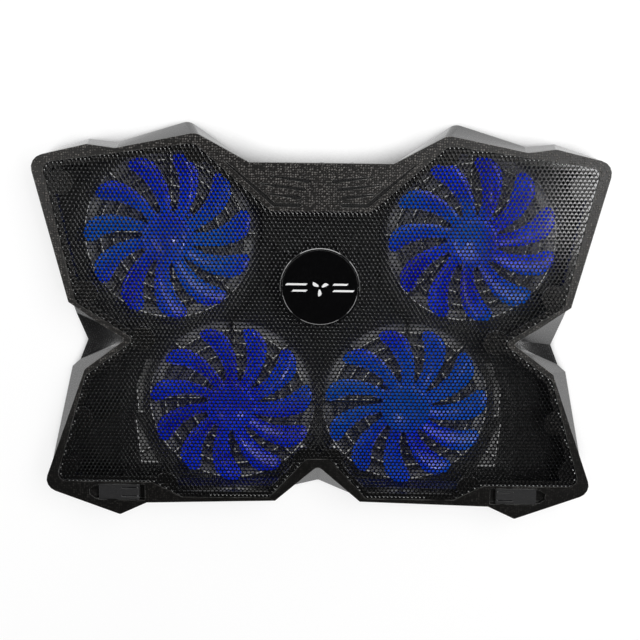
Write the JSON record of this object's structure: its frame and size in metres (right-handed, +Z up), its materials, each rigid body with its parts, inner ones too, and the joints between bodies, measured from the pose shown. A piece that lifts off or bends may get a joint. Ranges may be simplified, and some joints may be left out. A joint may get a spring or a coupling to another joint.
{
  "type": "laptop cooling pad",
  "caption": "X-shaped laptop cooling pad with lit fans under a perforated panel, flip-up stoppers and fold-out legs",
  "frame": {"origin": "middle of the pad's bounding box, on the surface that its rubber feet stand on", "axes": "+X to the pad's right, +Y to its rear, where the screen of the laptop is, +Z up"},
  "size_m": [0.3822, 0.2749, 0.028],
  "materials": {
    "frame_plastic": "textured black ABS",
    "shell_plastic": "satin black ABS",
    "panel_steel": "gloss black powder coat on perforated steel",
    "badge_gloss": "piano black",
    "inner_plastic": "plain black moulding",
    "fan_blue": "translucent blue, lit from inside",
    "steel": "ground pin",
    "magnet": "bonded ferrite",
    "bush_brass": "sintered bush",
    "lead_sheath": "vinyl sheath",
    "led_lens": "clear blue epoxy",
    "screw_steel": "black zinc",
    "rubber": "matt rubber",
    "board_green": "solder mask",
    "stopper_plastic": "satin black ABS",
    "leg_plastic": "satin black ABS",
    "socket_nickel": "nickel-plated steel",
    "button_plastic": "black cap"
  },
  "bodies": {
    "pad": {"top_frame": "frame_plastic", "mesh_panel": "panel_steel", "badge": "badge_gloss", "badge_ring": "inner_plastic", "bottom_shell": "shell_plastic", "motor_base_rear_left": "inner_plastic", "bush_rear_left": "bush_brass", "fan_lead_rear_left": "lead_sheath", "motor_base_rear_right": "inner_plastic", "bush_rear_right": "bush_brass", "fan_lead_rear_right": "lead_sheath", "motor_base_front_left": "inner_plastic", "bush_front_left": "bush_brass", "fan_lead_front_left": "lead_sheath", "motor_base_front_right": "inner_plastic", "bush_front_right": "bush_brass", "fan_lead_front_right": "lead_sheath", "fan_leds": "led_lens", "fan_screws": "screw_steel", "housing_screws": "screw_steel", "rubber_feet": "rubber", "control_board": "board_green", "board_screws": "steel", "stopper_pin_left": "steel", "leg_pin_left": "steel", "usb_socket_left": "socket_nickel", "switch_left": "inner_plastic", "stopper_pin_right": "steel", "leg_pin_right": "steel", "usb_socket_right": "socket_nickel", "switch_right": "inner_plastic"},
    "fan_rear_left": {"impeller_rear_left": "fan_blue", "fan_shaft_rear_left": "steel", "magnet_ring_rear_left": "magnet"},
    "fan_rear_right": {"impeller_rear_right": "fan_blue", "fan_shaft_rear_right": "steel", "magnet_ring_rear_right": "magnet"},
    "fan_front_left": {"impeller_front_left": "fan_blue", "fan_shaft_front_left": "steel", "magnet_ring_front_left": "magnet"},
    "fan_front_right": {"impeller_front_right": "fan_blue", "fan_shaft_front_right": "steel", "magnet_ring_front_right": "magnet"},
    "stopper_left": {"stopper_left": "stopper_plastic"},
    "leg_left": {"leg_left": "leg_plastic", "leg_tip_left": "rubber"},
    "button_left": {"button_left": "button_plastic"},
    "stopper_right": {"stopper_right": "stopper_plastic"},
    "leg_right": {"leg_right": "leg_plastic", "leg_tip_right": "rubber"},
    "button_right": {"button_right": "button_plastic"}
  },
  "joints": [
    {"name": "fan_spin_rear_left", "type": "hinge", "parent": "pad", "child": "fan_rear_left", "pos_m": [-0.1035, 0.06, 0.01], "axis": [0, 0, 1], "continuous": true},
    {"name": "fan_spin_rear_right", "type": "hinge", "parent": "pad", "child": "fan_rear_right", "pos_m": [0.1035, 0.06, 0.01], "axis": [0, 0, 1], "continuous": true},
    {"name": "fan_spin_front_left", "type": "hinge", "parent": "pad", "child": "fan_front_left", "pos_m": [-0.0615, -0.0595, 0.01], "axis": [0, 0, 1], "continuous": true},
    {"name": "fan_spin_front_right", "type": "hinge", "parent": "pad", "child": "fan_front_right", "pos_m": [0.0615, -0.0595, 0.01], "axis": [0, 0, 1], "continuous": true},
    {"name": "stopper_flip_left", "type": "hinge", "parent": "pad", "child": "stopper_left", "pos_m": [-0.1275, -0.1206, 0.0258], "axis": [0, 1, 0], "range_deg": [0, 90]},
    {"name": "leg_fold_left", "type": "hinge", "parent": "pad", "child": "leg_left", "pos_m": [-0.021, 0.101, 0.0054], "axis": [1, 0, 0], "range_deg": [0, 100]},
    {"name": "stopper_flip_right", "type": "hinge", "parent": "pad", "child": "stopper_right", "pos_m": [0.1275, -0.1206, 0.0258], "axis": [0, -1, 0], "range_deg": [0, 90]},
    {"name": "leg_fold_right", "type": "hinge", "parent": "pad", "child": "leg_right", "pos_m": [0.021, 0.101, 0.0054], "axis": [1, 0, 0], "range_deg": [0, 100]},
    {"name": "button_press_left", "type": "slide", "parent": "pad", "child": "button_left", "axis": [0, -1, 0], "range_m": [0, 0.0012], "stiffness_N_per_m": 600, "springref_m": -0.0008},
    {"name": "button_press_right", "type": "slide", "parent": "pad", "child": "button_right", "axis": [0, -1, 0], "range_m": [0, 0.0012], "stiffness_N_per_m": 600, "springref_m": -0.0008}
  ]
}
